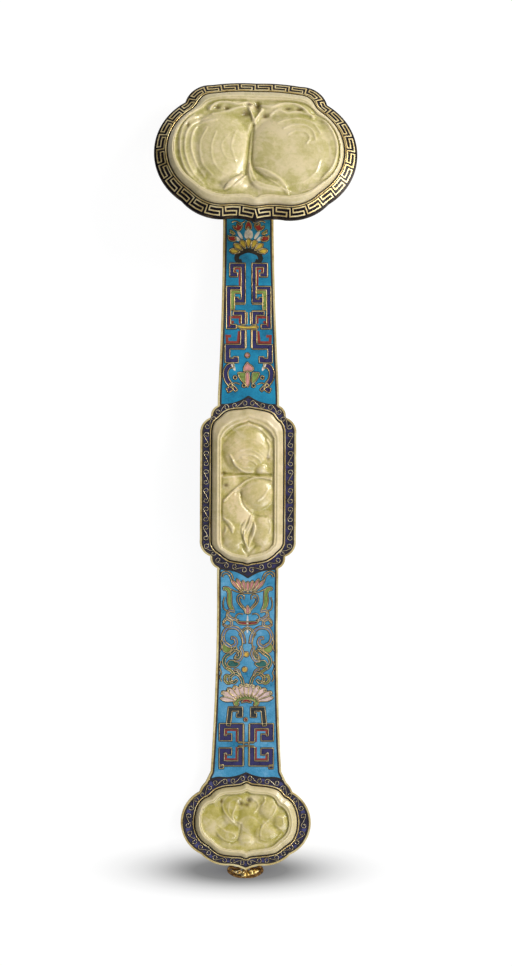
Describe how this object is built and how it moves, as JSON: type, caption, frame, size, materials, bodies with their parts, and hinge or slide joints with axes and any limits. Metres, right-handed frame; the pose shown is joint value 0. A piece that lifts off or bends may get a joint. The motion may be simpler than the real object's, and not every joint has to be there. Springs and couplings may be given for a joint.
{
  "type": "ruyi sceptre",
  "caption": "Curved cloisonne ruyi sceptre with lobed head, middle and tail plaques of carved pale jade, and a swinging tassel loop.",
  "frame": {"origin": "under the middle of the bounding box, on the surface that the sceptre's back rests on", "axes": "+Z the way the face looks, +Y from the tail to the head, +X to the right seen from the front"},
  "size_m": [0.1144, 0.4504, 0.056],
  "materials": {
    "gilt_copper": "fire-gilt, worn, satin",
    "dark_rim": "gilding worn to dark copper",
    "turquoise_enamel": "polished enamel",
    "dark_blue_enamel": "polished enamel",
    "black_enamel": "polished enamel",
    "jade": "waxy polish, translucent",
    "lacquer_paste": "matt"
  },
  "bodies": {
    "sceptre": {"shaft_front_plate": "gilt_copper", "shaft_back_shell": "gilt_copper", "upper_shaft_enamel": "turquoise_enamel", "lower_shaft_enamel": "turquoise_enamel", "middle_border_enamel": "dark_blue_enamel", "tail_border_enamel": "dark_blue_enamel", "back_enamel": "turquoise_enamel", "head_front_plate": "dark_rim", "head_back_dish": "gilt_copper", "head_border_enamel": "black_enamel", "head_fret_wires": "gilt_copper", "head_bezel": "gilt_copper", "head_jade": "jade", "head_bedding": "lacquer_paste", "middle_bezel": "gilt_copper", "middle_jade": "jade", "middle_bedding": "lacquer_paste", "tail_bezel": "gilt_copper", "tail_jade": "jade", "tail_bedding": "lacquer_paste", "neck_saddle": "gilt_copper", "neck_rivets": "gilt_copper", "loop_staple": "gilt_copper", "loop_pin": "gilt_copper"},
    "loop": {"tassel_loop": "gilt_copper"}
  },
  "joints": [
    {"name": "loop_swing", "type": "hinge", "parent": "sceptre", "child": "loop", "pos_m": [-0.0032, -0.21575, 0.0025], "axis": [1, 0, 0], "range_deg": [-8, 95]}
  ]
}
